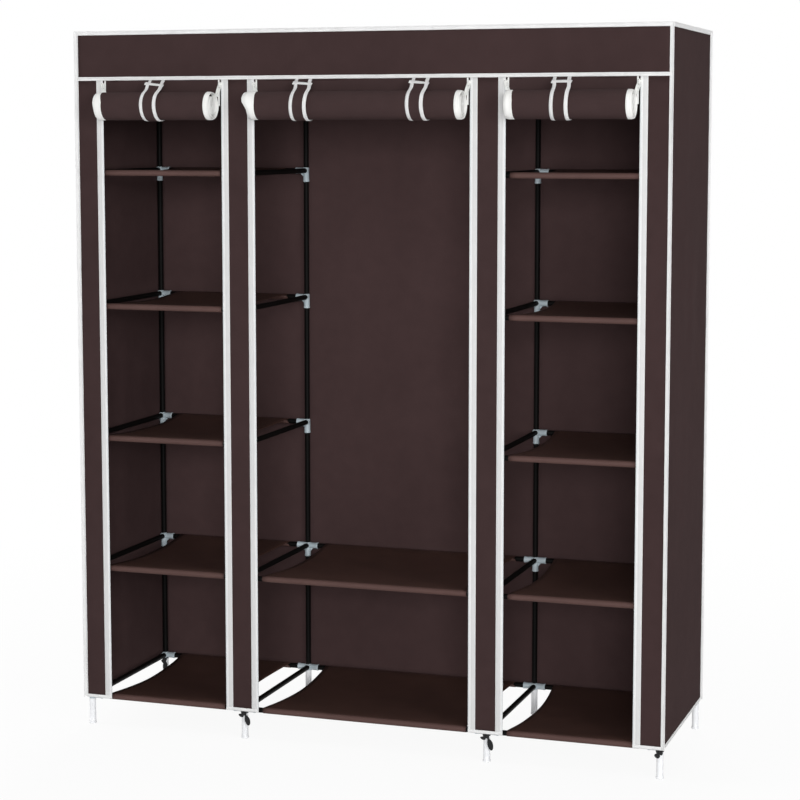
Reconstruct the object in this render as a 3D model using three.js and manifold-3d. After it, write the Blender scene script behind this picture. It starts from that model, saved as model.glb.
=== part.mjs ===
// Portable fabric wardrobe: a frame of steel tubes and plastic connectors in three columns, with
// cloth shelves, under a sewn cover whose three zipped doors are rolled up below the header.
// Millimetres, +Z up, +X to the right, the front faces -Y. The origin is on the floor under the
// middle of the whole object, rolled doors included.

import * as THREE from 'three';
import { mergeVertices } from 'three/addons/utils/BufferGeometryUtils.js';
import Module from 'manifold-3d';

const wasm = await Module();
wasm.setup();

// Overall size of the cover, over its bindings
const coverWidth = 1500;
const coverDepth = 480;
const coverHeight = 1750;
const hemHeight = 72;

// Cloth and bindings
const clothThickness = 1.2;
const fit = 0.3;
const overrun = 1;
const bindingReach = 5;
const bindingThickness = 3;
const bindingRoot = 0.8;
const hemWidth = 8;
const hemProud = 1.2;
const headerHeight = 116;
const headerBindingWidth = 9;
const headerBindingProud = 1.5;

// Front strips between the door openings
const cornerStripWidth = 72;
const dividerStripWidth = 86;
const zipTapeWidth = 18;
const zipTapeProud = 0.8;

// Tube frame
const tubeRadius = 6.5;
const socketRadius = 8.2;
const socketReach = 29;
const sideCollarReach = 10.5;
const gussetThickness = 3;
const gussetInsetShare = 0.2;
const coverSlack = 5.6;
const dividerX = 314;
const bottomLevel = 74;
const stepCount = 5;
const tubeSides = 8;
const rodCollarLength = 26;

// Legs
const legRadius = 8.4;
const legFootRadius = 9.4;
const legFootHeight = 5;
const spigotDepth = 24;
const legSides = 12;

// Shelves
const outerShelfCount = 5;
const centerShelfCount = 2;
const sleeveRadius = 7.3;
const shelfThickness = 1;
const bareTube = 22;
const shelfSag = 13;
const sideCurve = 20;
const endSagShare = 0.6;
const sleeveSides = 8;
const shelfStations = 4;
const shelfCrossings = 4;

// Rolled doors
const rollRadius = 35;
const rollPitch = 4;
const rollBand = 2.4;
const rollTurns = 6;
const rollSides = 12;
const rollDrop = 63;
const rollEndGap = 4;

// Straps that hold the rolled doors
const strapWidth = 43;
const strapThickness = 1.2;
const strapOverlap = 8;
const strapArcSteps = 6;
const strapBackAngle = THREE.MathUtils.degToRad(300);
const leftStrapShares = [0.485];
const centerStrapShares = [0.255, 0.79];
const rightStrapShares = [0.45];

// Zip sliders and their pulls
const sliderWidth = 9;
const sliderTaper = 1;
const sliderHeight = 14;
const sliderThickness = 4;
const sliderOffset = 2;
const sliderDrop = 6;
const crownWidth = 2.2;
const crownWall = 1.2;
const crownOpening = 6;
const crownClearance = 2.8;
const pullWidth = 10;
const pullLength = 34;
const pullThickness = 1.8;
const pullWindowWidth = 3.8;
const pullWindowLength = 5.4;
const pullCorner = 2;

// Planes of the cover's panels
const panelX = coverWidth / 2 - bindingReach;
const panelY = coverDepth / 2 - bindingReach;
const panelTop = coverHeight - bindingReach;
const headerBottom = panelTop - headerHeight;

// Places in the frame
const sideX = panelX - clothThickness - fit - socketRadius;
const topLevel = panelTop - clothThickness - fit - socketRadius;
const levelStep = (topLevel - bottomLevel) / stepCount;
const postY = panelY - clothThickness - coverSlack - socketRadius;
const legTop = bottomLevel - socketRadius - fit;

// Places of the rolled doors, and the reach that centres the object on its origin
const rollY = -panelY - fit - rollRadius;
const rollZ = headerBottom - rollDrop;
const strapRadius = rollRadius + fit + strapThickness / 2;
const frontReach = -rollY + strapRadius + strapThickness / 2;
const backReach = coverDepth / 2;

const ladders = [
  { name: 'frame_left', x: -sideX },
  { name: 'frame_divider_left', x: -dividerX },
  { name: 'frame_divider_right', x: dividerX },
  { name: 'frame_right', x: sideX },
];

const columns = [
  { name: 'left', shelves: outerShelfCount, strapShares: leftStrapShares },
  { name: 'center', shelves: centerShelfCount, strapShares: centerStrapShares },
  { name: 'right', shelves: outerShelfCount, strapShares: rightStrapShares },
].map((column, i) => ({ ...column, from: ladders[i].x, to: ladders[i + 1].x }));

const stripEdges = {
  left: [-panelX + cornerStripWidth, -dividerX - dividerStripWidth / 2],
  center: [-dividerX + dividerStripWidth / 2, dividerX - dividerStripWidth / 2],
  right: [dividerX + dividerStripWidth / 2, panelX - cornerStripWidth],
};

const levelHeight = (level) => bottomLevel + level * levelStep;
const hasRails = (column, level) => level < column.shelves || level === stepCount;

// Solids, joins and finishes

function solidOf(geometry) {
  const bare = geometry.clone();
  bare.deleteAttribute('normal');
  bare.deleteAttribute('uv');
  const merged = mergeVertices(bare);
  const triVerts = new Uint32Array(merged.index.array);
  const vertProperties = new Float32Array(merged.attributes.position.array);
  return new wasm.Manifold(new wasm.Mesh({ numProp: 3, vertProperties, triVerts }));
}

function geometryOf(solid) {
  const { vertProperties, triVerts } = solid.getMesh();
  const geometry = new THREE.BufferGeometry();
  geometry.setAttribute('position', new THREE.BufferAttribute(vertProperties, 3));
  geometry.setIndex(new THREE.BufferAttribute(triVerts, 1));
  geometry.computeVertexNormals();
  return geometry;
}

const joined = (geometries) => geometryOf(geometries.map(solidOf).reduce((a, b) => a.add(b)));

const finishes = {
  cover: { color: 0x3e3030, roughness: 0.85, metalness: 0 },
  door: { color: 0x403232, roughness: 0.85, metalness: 0 },
  shelf: { color: 0x2c1d1a, roughness: 0.6, metalness: 0 },
  tube: { color: 0x0c0b0b, roughness: 0.35, metalness: 0.2 },
  leg: { color: 0xeceef0, roughness: 0.45, metalness: 0 },
  zip: { color: 0xe4e4e0, roughness: 0.4, metalness: 0.3 },
};

function piece(name, geometry, finish) {
  const mesh = new THREE.Mesh(geometry, new THREE.MeshStandardMaterial(finishes[finish]));
  mesh.name = name;
  return mesh;
}

// A straight round bar between two points
function bar(from, to, radius, sides = tubeSides) {
  const along = new THREE.Vector3().subVectors(to, from);
  const geometry = new THREE.CylinderGeometry(radius, radius, along.length(), sides);
  const up = new THREE.Vector3(0, 1, 0);
  const turn = new THREE.Quaternion().setFromUnitVectors(up, along.clone().normalize());
  geometry.applyQuaternion(turn);
  const middle = new THREE.Vector3().addVectors(from, to).multiplyScalar(0.5);
  return geometry.translate(middle.x, middle.y, middle.z);
}

function box(low, high) {
  const size = high.map((value, i) => value - low[i]);
  const middle = high.map((value, i) => (value + low[i]) / 2);
  return new THREE.BoxGeometry(...size).translate(...middle);
}

// A shape drawn in X and Z, with its thickness from frontY backwards
function plate(shape, thickness, frontY) {
  const geometry = new THREE.ExtrudeGeometry(shape, { depth: thickness, bevelEnabled: false });
  const axes = [new THREE.Vector3(1, 0, 0), new THREE.Vector3(0, 0, 1), new THREE.Vector3(0, -1, 0)];
  geometry.applyMatrix4(new THREE.Matrix4().makeBasis(...axes));
  return geometry.translate(0, frontY + thickness, 0);
}

// A shape drawn in Y and Z, swept along X and centred on middleX
function sweepX(shape, width, middleX) {
  const geometry = new THREE.ExtrudeGeometry(shape, { depth: width, bevelEnabled: false });
  const axes = [new THREE.Vector3(0, 1, 0), new THREE.Vector3(0, 0, 1), new THREE.Vector3(1, 0, 0)];
  geometry.applyMatrix4(new THREE.Matrix4().makeBasis(...axes));
  return geometry.translate(middleX - width / 2, 0, 0);
}

const point = (x, y, z) => new THREE.Vector3(x, y, z);
const shapeOf = (pairs) => new THREE.Shape(pairs.map(([a, b]) => new THREE.Vector2(a, b)));

// Frame: one ladder of two posts, their connectors and the side tubes between them

function connector(x, y, level, directions) {
  const z = levelHeight(level);
  const reachDown = level === 0 ? socketRadius : socketReach;
  const inward = -Math.sign(y);
  const hub = point(x, y, z);
  const parts = [
    bar(point(x, y, z - reachDown), point(x, y, z + socketRadius), socketRadius),
    bar(hub, point(x, y + inward * sideCollarReach, z), socketRadius),
  ];
  for (const direction of directions) {
    parts.push(bar(hub, point(x + direction * socketReach, y, z), socketRadius));
    if (level > 0) parts.push(gusset(x, y, z, direction));
  }
  return parts;
}

// The triangular web between a downward socket and a rail's socket
function gusset(x, y, z, direction) {
  const tip = socketReach * (1 - gussetInsetShare);
  const shape = shapeOf([[x, z], [x, z - tip], [x + direction * tip, z]]);
  return plate(shape, gussetThickness, y - gussetThickness / 2);
}

// The collar on a divider's top tube that takes the hanging rod
function rodCollar(x, direction) {
  const halfCollar = rodCollarLength / 2;
  return [
    bar(point(x, -halfCollar, topLevel), point(x, halfCollar, topLevel), socketRadius),
    bar(point(x, 0, topLevel), point(x + direction * socketReach, 0, topLevel), socketRadius),
  ];
}

function ladder(index) {
  const { x } = ladders[index];
  const columnLeft = columns[index - 1];
  const columnRight = columns[index];
  const spigotEnd = legTop - spigotDepth + fit;
  const parts = [];
  for (const y of [-postY, postY]) {
    parts.push(bar(point(x, y, spigotEnd), point(x, y, topLevel), tubeRadius));
    for (let level = 0; level <= stepCount; level++) {
      const directions = [];
      if (columnLeft && hasRails(columnLeft, level)) directions.push(-1);
      if (columnRight && hasRails(columnRight, level)) directions.push(1);
      parts.push(...connector(x, y, level, directions));
    }
  }
  for (let level = 0; level <= stepCount; level++) {
    const z = levelHeight(level);
    parts.push(bar(point(x, -postY, z), point(x, postY, z), tubeRadius));
  }
  if (columnLeft && columnRight) parts.push(...rodCollar(x, -Math.sign(x)));
  return joined(parts);
}

// A leg is a plain cup under each post, open at the top for the post's end
function leg(x, y) {
  const bore = tubeRadius + fit;
  const boreBottom = legTop - spigotDepth;
  const profile = [
    [0, 0],
    [legFootRadius, 0],
    [legFootRadius, legFootHeight],
    [legRadius, legFootHeight + legFootRadius - legRadius],
    [legRadius, legTop],
    [bore, legTop],
    [bore, boreBottom],
    [0, boreBottom],
  ].map(([r, z]) => new THREE.Vector2(r, z));
  const geometry = new THREE.LatheGeometry(profile, legSides);
  geometry.rotateX(Math.PI / 2);
  return joined([geometry]).translate(x, y, 0);
}

// A tube along X from one ladder's socket mouth to the next one's
function rail(column, y, z) {
  const from = column.from + socketReach + fit;
  const to = column.to - socketReach - fit;
  return bar(point(from, y, z), point(to, y, z), tubeRadius);
}

// Shelves: a cloth panel with a sleeve round each of its two rails

const hump = (share) => 4 * share * (1 - share);

// The shelf's outline in Y and Z, counter-clockwise, each point with its share of the depth
function shelfOutline() {
  const outline = [];
  const sleeveStep = (2 * Math.PI) / sleeveSides;
  for (let k = 0; k <= sleeveSides / 2 + 1; k++) {
    const angle = Math.PI / 2 + k * sleeveStep;
    outline.push({ y: -postY + sleeveRadius * Math.cos(angle), z: sleeveRadius * Math.sin(angle), share: 0 });
  }
  const under = sleeveRadius - shelfThickness;
  outline.push({ y: -postY + sleeveRadius, z: under - shelfThickness, share: 0 });
  for (let k = 1; k < shelfCrossings; k++) {
    const share = k / shelfCrossings;
    outline.push({ y: -postY + 2 * share * postY, z: under, share });
  }
  outline.push({ y: postY - sleeveRadius, z: under - shelfThickness, share: 0 });
  for (let k = sleeveSides / 2 + 1; k >= 0; k--) {
    const angle = Math.PI / 2 - k * sleeveStep;
    outline.push({ y: postY + sleeveRadius * Math.cos(angle), z: sleeveRadius * Math.sin(angle), share: 0 });
  }
  for (let k = shelfCrossings - 1; k > 0; k--) {
    const share = k / shelfCrossings;
    outline.push({ y: -postY + 2 * share * postY, z: sleeveRadius, share });
  }
  return outline;
}

function shelfCloth(column, level) {
  const z = levelHeight(level);
  const from = column.from + socketReach + bareTube;
  const to = column.to - socketReach - bareTube;
  const outline = shelfOutline();
  const positions = [];
  for (let i = 0; i <= shelfStations; i++) {
    const along = i / shelfStations;
    const sag = shelfSag * (endSagShare + (1 - endSagShare) * hump(along));
    for (const p of outline) {
      const inset = sideCurve * hump(p.share) * (1 - 2 * along);
      positions.push(from + along * (to - from) + inset, p.y, z + p.z - sag * hump(p.share));
    }
  }
  const count = outline.length;
  const index = [];
  for (let i = 0; i < shelfStations; i++) {
    for (let j = 0; j < count; j++) {
      const a = i * count + j;
      const b = i * count + ((j + 1) % count);
      index.push(a, b, b + count, a, b + count, a + count);
    }
  }
  const contour = outline.map((p) => new THREE.Vector2(p.y, p.z - shelfSag * hump(p.share)));
  const last = shelfStations * count;
  for (const [a, b, c] of THREE.ShapeUtils.triangulateShape(contour, [])) {
    index.push(c, b, a);
    index.push(last + a, last + b, last + c);
  }
  const geometry = new THREE.BufferGeometry();
  geometry.setAttribute('position', new THREE.Float32BufferAttribute(positions, 3));
  geometry.setIndex(index);
  return geometry;
}

function shelf(column, level) {
  const z = levelHeight(level);
  return joined([shelfCloth(column, level), rail(column, -postY, z), rail(column, postY, z)]);
}

// Cover: five sewn panels with bound edges

// The section of a bound seam that stands out of the corner between two panels
function bindingSection() {
  const half = bindingThickness / 2;
  const reach = bindingReach * Math.SQRT2 - half;
  const shape = new THREE.Shape();
  shape.moveTo(-bindingRoot, -half);
  shape.lineTo(reach, -half);
  shape.lineTo(reach + half, 0);
  shape.lineTo(reach, half);
  shape.lineTo(-bindingRoot, half);
  return shape;
}

// A bound seam of a given length that starts at the origin and runs along +Z, pointing to angle
function bindingRib(length, angle) {
  const rib = new THREE.ExtrudeGeometry(bindingSection(), { depth: length, bevelEnabled: false });
  return rib.rotateZ(angle);
}

const diagonal = Math.PI / 4;

// The upright bound seams at both corners and the bound seam along the top, for facing -1 or 1
function panelBindings(facing) {
  const height = panelTop - hemHeight;
  const left = bindingRib(height, facing * 3 * diagonal).translate(-panelX, facing * panelY, hemHeight);
  const right = bindingRib(height, facing * diagonal).translate(panelX, facing * panelY, hemHeight);
  const top = bindingRib(2 * panelX, facing > 0 ? diagonal : 3 * diagonal);
  top.rotateX(Math.PI / 2).rotateZ(Math.PI / 2).translate(-panelX, facing * panelY, panelTop);
  return [left, right, top];
}

const headerFace = -panelY - headerBindingProud;

function coverFront() {
  const edges = [stripEdges.left, stripEdges.center, stripEdges.right];
  const outline = [[panelX, panelTop], [-panelX, panelTop], [-panelX, hemHeight]];
  for (const [from, to] of edges) {
    outline.push([from, hemHeight], [from, headerBottom], [to, headerBottom], [to, hemHeight]);
  }
  outline.push([panelX, hemHeight]);
  const parts = [plate(shapeOf(outline), clothThickness, -panelY), ...panelBindings(-1)];
  const tapeFront = -panelY - zipTapeProud;
  const cloth = -panelY + clothThickness / 2;
  for (const [from, to] of edges) {
    parts.push(box([from - zipTapeWidth, tapeFront, hemHeight], [from, cloth, headerBottom + overrun]));
    parts.push(box([to, tapeFront, hemHeight], [to + zipTapeWidth, cloth, headerBottom + overrun]));
  }
  const bandTop = headerBottom + headerBindingWidth;
  parts.push(box([-panelX + overrun, headerFace, headerBottom], [panelX - overrun, cloth, bandTop]));
  const strips = [-panelX, ...edges.flat(), panelX];
  for (let i = 0; i < strips.length; i += 2) {
    const low = [strips[i] + fit, headerFace, hemHeight];
    parts.push(box(low, [strips[i + 1] - fit, cloth, hemHeight + hemWidth]));
  }
  return joined(parts);
}

function coverBack() {
  const outline = [[-panelX, hemHeight], [panelX, hemHeight], [panelX, panelTop], [-panelX, panelTop]];
  const middle = panelY - clothThickness / 2;
  const hemLow = [-panelX + overrun, middle, hemHeight];
  const hem = box(hemLow, [panelX - overrun, panelY + hemProud, hemHeight + hemWidth]);
  const panel = plate(shapeOf(outline), clothThickness, panelY - clothThickness);
  return joined([panel, hem, ...panelBindings(1)]);
}

function coverSide(side) {
  const reach = panelY - clothThickness - fit;
  const inner = side * (panelX - clothThickness);
  const middle = side * (panelX - clothThickness / 2);
  const outer = side * panelX;
  const proud = side * (panelX + hemProud);
  const span = (a, b) => [Math.min(a, b), Math.max(a, b)];
  const [low, high] = span(inner, outer);
  const [hemFrom, hemTo] = span(middle, proud);
  const top = panelTop - clothThickness - fit;
  const hemEnd = reach - bindingThickness;
  return joined([
    box([low, -reach, hemHeight], [high, reach, top]),
    box([hemFrom, -hemEnd, hemHeight], [hemTo, hemEnd, hemHeight + hemWidth]),
  ]);
}

function coverTop() {
  const reach = panelY - clothThickness - fit;
  const ribReach = reach - bindingThickness / 2;
  const parts = [box([-panelX, -reach, panelTop - clothThickness], [panelX, reach, panelTop])];
  for (const side of [-1, 1]) {
    const rib = bindingRib(2 * ribReach, side > 0 ? diagonal : 3 * diagonal);
    parts.push(rib.rotateX(Math.PI / 2).translate(side * panelX, ribReach, panelTop));
  }
  return joined(parts);
}

// Doors: the cloth that hangs from the header, and the rest of it rolled up in front

function doorCurtain([from, to]) {
  const low = [from + rollEndGap, -panelY, rollZ];
  return box(low, [to - rollEndGap, -panelY + clothThickness, headerBottom - fit]);
}

// The rolled cloth is one spiral band, from its tangent behind inwards under the roll
function doorRoll([from, to]) {
  const outer = [];
  const inner = [];
  for (let k = 0; k <= rollTurns * rollSides; k++) {
    const turns = k / rollSides;
    const angle = -2 * Math.PI * turns;
    const radius = rollRadius - rollPitch * turns;
    outer.push([rollY + radius * Math.cos(angle), rollZ + radius * Math.sin(angle)]);
    const within = radius - rollBand;
    inner.push([rollY + within * Math.cos(angle), rollZ + within * Math.sin(angle)]);
  }
  const shape = shapeOf([...outer, ...inner.reverse()]);
  return joined([sweepX(shape, to - from - 2 * rollEndGap, (from + to) / 2)]);
}

// The line of a strap in Y and Z: down from the header, round the roll, and up behind the door
function strapLine() {
  const seamY = -panelY - fit - strapThickness / 2;
  const bendZ = headerBottom - fit - strapThickness;
  const toBend = Math.atan2(bendZ - rollZ, seamY - rollY);
  const distance = Math.hypot(bendZ - rollZ, seamY - rollY);
  const tangent = toBend + Math.acos(strapRadius / distance);
  const line = [[seamY, headerBottom - fit], [seamY, bendZ]];
  const onRoll = (angle) => [rollY + strapRadius * Math.cos(angle), rollZ + strapRadius * Math.sin(angle)];
  for (let k = 0; k <= strapArcSteps; k++) {
    line.push(onRoll(tangent + ((Math.PI - tangent) * k) / strapArcSteps));
  }
  for (let k = 1; k <= strapArcSteps; k++) {
    line.push(onRoll(Math.PI + ((strapBackAngle - Math.PI) * k) / strapArcSteps));
  }
  const [lastY, lastZ] = line[line.length - 1];
  const backY = -panelY + clothThickness + fit + strapThickness / 2;
  const slope = -Math.cos(strapBackAngle) / Math.sin(strapBackAngle);
  line.push([backY, lastZ + (backY - lastY) * slope]);
  line.push([backY, headerBottom + strapOverlap]);
  return line;
}

// A band of even thickness along a line, swept across the strap's width
function strap(middleX) {
  const line = strapLine().map(([a, b]) => new THREE.Vector2(a, b));
  const left = [];
  const right = [];
  line.forEach((p, i) => {
    const before = line[Math.max(i - 1, 0)];
    const after = line[Math.min(i + 1, line.length - 1)];
    const inward = new THREE.Vector2().subVectors(p, before).normalize();
    const outward = new THREE.Vector2().subVectors(after, p).normalize();
    const along = new THREE.Vector2().addVectors(inward, outward).normalize();
    const offset = new THREE.Vector2(-along.y, along.x).multiplyScalar(strapThickness / 2);
    left.push([p.x + offset.x, p.y + offset.y]);
    right.push([p.x - offset.x, p.y - offset.y]);
  });
  return joined([sweepX(shapeOf([...left, ...right.reverse()]), strapWidth, middleX)]);
}

// Zips: a slider at the top of each zip, with a pull that hangs from its crown

const sliderBack = -panelY - zipTapeProud - fit;
const sliderFace = sliderBack - sliderThickness;
const pullBarY = sliderFace - crownClearance / 2;
const sliderMiddleZ = headerBottom - sliderDrop - sliderHeight / 2;

function zipSlider(x) {
  const half = sliderWidth / 2;
  const low = sliderMiddleZ - sliderHeight / 2;
  const high = sliderMiddleZ + sliderHeight / 2;
  const outline = shapeOf([
    [x - half + sliderTaper, low],
    [x + half - sliderTaper, low],
    [x + half, high - sliderTaper],
    [x + half - sliderTaper, high],
    [x - half + sliderTaper, high],
    [x - half, high - sliderTaper],
  ]);
  const gap = crownOpening / 2;
  const foot = gap + crownWall;
  const sunk = sliderFace + overrun;
  const roof = sliderFace - crownClearance;
  const crown = shapeOf([
    [sunk, sliderMiddleZ - foot],
    [sunk, sliderMiddleZ - gap],
    [roof, sliderMiddleZ - gap],
    [roof, sliderMiddleZ + gap],
    [sunk, sliderMiddleZ + gap],
    [sunk, sliderMiddleZ + foot],
    [roof - crownWall, sliderMiddleZ + foot],
    [roof - crownWall, sliderMiddleZ - foot],
  ]);
  return joined([plate(outline, sliderThickness, sliderFace), sweepX(crown, crownWidth, x)]);
}

function zipPull(x) {
  const half = pullWidth / 2;
  const top = sliderMiddleZ + pullThickness / 2;
  const low = top - pullLength;
  const outline = shapeOf([
    [x - half + pullCorner, low],
    [x + half - pullCorner, low],
    [x + half, low + pullCorner],
    [x + half, top],
    [x - half, top],
    [x - half, low + pullCorner],
  ]);
  const windowTop = top - pullThickness;
  const windowHalf = pullWindowWidth / 2;
  outline.holes.push(shapeOf([
    [x - windowHalf, windowTop - pullWindowLength],
    [x - windowHalf, windowTop],
    [x + windowHalf, windowTop],
    [x + windowHalf, windowTop - pullWindowLength],
  ]));
  return plate(outline, pullThickness, pullBarY - pullThickness / 2);
}

// The whole wardrobe

const model = new THREE.Group();

ladders.forEach(({ name, x }, i) => {
  model.add(piece(name, ladder(i), 'tube'));
  const place = name.replace('frame_', '');
  model.add(piece(`leg_front_${place}`, leg(x, -postY), 'leg'));
  model.add(piece(`leg_rear_${place}`, leg(x, postY), 'leg'));
});

for (const column of columns) {
  for (let level = 0; level < column.shelves; level++) {
    model.add(piece(`shelf_${column.name}_${level + 1}`, shelf(column, level), 'shelf'));
  }
  model.add(piece(`top_rail_${column.name}_front`, rail(column, -postY, topLevel), 'tube'));
  model.add(piece(`top_rail_${column.name}_rear`, rail(column, postY, topLevel), 'tube'));
}
model.add(piece('hanging_rod', rail(columns[1], 0, topLevel), 'tube'));

model.add(piece('cover_front', coverFront(), 'cover'));
model.add(piece('cover_back', coverBack(), 'cover'));
model.add(piece('cover_left', coverSide(-1), 'cover'));
model.add(piece('cover_right', coverSide(1), 'cover'));
model.add(piece('cover_top', coverTop(), 'cover'));

let zipCount = 0;
for (const column of columns) {
  const [from, to] = stripEdges[column.name];
  model.add(piece(`door_curtain_${column.name}`, doorCurtain([from, to]), 'door'));
  model.add(piece(`door_roll_${column.name}`, doorRoll([from, to]), 'door'));
  column.strapShares.forEach((share, i) => {
    const suffix = column.strapShares.length > 1 ? `_${i + 1}` : '';
    model.add(piece(`strap_${column.name}${suffix}`, strap(from + share * (to - from)), 'cover'));
  });
  for (const x of [from - sliderOffset, to + sliderOffset]) {
    zipCount += 1;
    model.add(piece(`zip_slider_${zipCount}`, zipSlider(x), 'zip'));
    model.add(piece(`zip_pull_${zipCount}`, zipPull(x), 'zip'));
  }
}

const wardrobe = new THREE.Group();
model.position.y = (frontReach - backReach) / 2;
wardrobe.add(model);

export default wardrobe;
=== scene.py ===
import math

import bmesh
import bpy
from mathutils import Matrix, Vector, noise


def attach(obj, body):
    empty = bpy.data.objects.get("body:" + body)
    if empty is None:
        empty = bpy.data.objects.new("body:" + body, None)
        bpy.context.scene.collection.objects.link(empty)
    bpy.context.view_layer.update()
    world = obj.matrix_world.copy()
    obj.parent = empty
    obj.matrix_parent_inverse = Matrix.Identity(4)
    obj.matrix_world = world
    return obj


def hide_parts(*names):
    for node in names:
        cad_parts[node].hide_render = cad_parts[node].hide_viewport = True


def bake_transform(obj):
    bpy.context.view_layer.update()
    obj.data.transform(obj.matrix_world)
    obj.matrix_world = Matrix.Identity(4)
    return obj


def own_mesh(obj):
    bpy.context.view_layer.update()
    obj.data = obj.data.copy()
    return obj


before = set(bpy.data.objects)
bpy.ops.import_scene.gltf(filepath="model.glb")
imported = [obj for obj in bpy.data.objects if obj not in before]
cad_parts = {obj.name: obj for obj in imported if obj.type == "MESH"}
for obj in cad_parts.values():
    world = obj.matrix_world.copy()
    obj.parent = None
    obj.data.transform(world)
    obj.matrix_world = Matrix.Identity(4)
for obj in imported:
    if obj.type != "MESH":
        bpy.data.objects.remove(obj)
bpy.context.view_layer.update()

# Portable fabric wardrobe, in metres. Shapes are drawn round the middle of the cover and then
# moved back by SHIFT, because the frame's origin lies under the middle of cover and rolled doors.
SHIFT = 0.0334
MM = 0.001
SIDES = ((-1, "left"), (1, "right"))
FACES = ((-1, "front"), (1, "rear"))

# Cover: half its width and depth, its top and its hem
WALL_X, WALL_Y, TOP_Z, HEM_Z = 0.745, 0.235, 1.745, 0.072
CLOTH, SEAM = 0.0012, 0.0003
INNER_Y = WALL_Y - CLOTH - SEAM
HEADER_Z = 1.629
HEADER_BAND, HEM_BAND, TAPE = 0.009, 0.008, 0.018
BAND_END_X, BAND_END_Y, BAND_INSET = 0.7402, 0.2302, 0.0048

# Frame: where its uprights stand, and each column's uprights and number of shelves
LADDERS = {"left": -0.7353, "divider_left": -0.314, "divider_right": 0.314, "right": 0.7353}
COLUMNS = {"left": ("left", "divider_left", 5), "center": ("divider_left", "divider_right", 2),
           "right": ("divider_right", "right", 5)}
POST_Y, POST_LOW, POST_PAST_TOP = 0.220, 0.042, 0.004
BOTTOM_LEVEL, TOP_LEVEL, STEPS = 0.074, 1.7353, 5
TUBE, SLEEVE = 0.0065, 0.00695
SIDE_TUBE_GAP, RAIL_GAP, SHELF_GAP = 0.0055, 0.0095, 0.051
# Sockets and their beads: radius, and how far a socket reaches, in millimetres
SOCKET, BEAD, SOCKET_REACH = 7.8, 8.4, 29

# Doors: their edges, the rolls, and each strap's place as a share of its door's width, with the
# tilt of its bound end and how far its top leans sideways
DOORS = {"left": (-0.673, -0.357), "center": (-0.271, 0.271), "right": (0.357, 0.673)}
DOOR_EDGES = [edge for door in DOORS.values() for edge in door]
DOOR_TAPE = 0.021
ROLL_R, ROLL_Y, ROLL_Z = 0.035, -0.2703, 1.566
ROLL_OUTER, ROLL_PITCH, ROLL_TURNS = ROLL_R - 0.0005, 0.0018, 10.3
TURN_STEPS = 22
CURTAIN_IN, ROLL_IN = 0.004, 0.006
DOOR_CUT, DOOR_CLOTH = 1.494, 0.0009
STRAP_W = 0.043
STRAPS = {"left": [(0.485, -0.14, -0.008)],
          "center": [(0.255, -0.09, -0.009), (0.79, -0.12, -0.007)],
          "right": [(0.45, 0.0, -0.007)]}


def level(k):
    return BOTTOM_LEVEL + k * (TOP_LEVEL - BOTTOM_LEVEL) / STEPS


def hump(share):
    return 4 * share * (1 - share)


def ease(share):
    share = min(max(share, 0), 1)
    return share * share * (3 - 2 * share)


def ripple(x, y, z, size):
    """A soft uneven swell of about -1 to 1, the same on every run"""
    return noise.noise(Vector((x, y, z)) / size)


# Finishes

def maths(operation, swapped=False):
    """A method of Term that makes a node for an operation"""
    def method(self, *others):
        values = (*others, self) if swapped else (self, *others)
        return self.graph.node("ShaderNodeMath", {"operation": operation}, dict(enumerate(values)))
    return method


class Term:
    """A value in a graph, so that sums of values read as expressions"""

    def __init__(self, graph, socket):
        self.graph = graph
        self.socket = socket

    __add__ = __radd__ = maths("ADD")
    __mul__ = __rmul__ = maths("MULTIPLY")
    __sub__ = maths("SUBTRACT")
    __rsub__ = maths("SUBTRACT", swapped=True)
    __truediv__ = maths("DIVIDE")
    __rtruediv__ = maths("DIVIDE", swapped=True)
    __lt__ = maths("LESS_THAN")
    __gt__ = maths("GREATER_THAN")
    size = maths("ABSOLUTE")
    wave = maths("COSINE")
    fraction = maths("FRACT")
    above = maths("MAXIMUM")
    below = maths("MINIMUM")

    def clip(self):
        return self.above(0).below(1)

    def contrast(self, gain):
        return ((self - 0.5) * gain + 0.5).clip()


class Graph:
    """A tree of shader nodes"""

    def __init__(self, tree):
        self.tree = tree

    def feed(self, socket, value):
        if isinstance(value, Term):
            self.tree.links.new(value.socket, socket)
        elif isinstance(value, tuple) and socket.type == "RGBA":
            socket.default_value = (*value, 1)
        else:
            socket.default_value = value

    def node(self, kind, settings, sockets, output=0):
        node = self.tree.nodes.new(kind)
        for key, value in settings.items():
            setattr(node, key, value)
        for key, value in sockets.items():
            self.feed(node.inputs[key], value)
        return Term(self, node.outputs[output])

    def seen(self):
        """1 where the eye, a mirror or a window looks, and 0 for light on things"""
        rays = ("Is Camera Ray", "Is Glossy Ray", "Is Transmission Ray")
        return sum(self.node("ShaderNodeLightPath", {}, {}, ray) for ray in rays).below(1)


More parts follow.
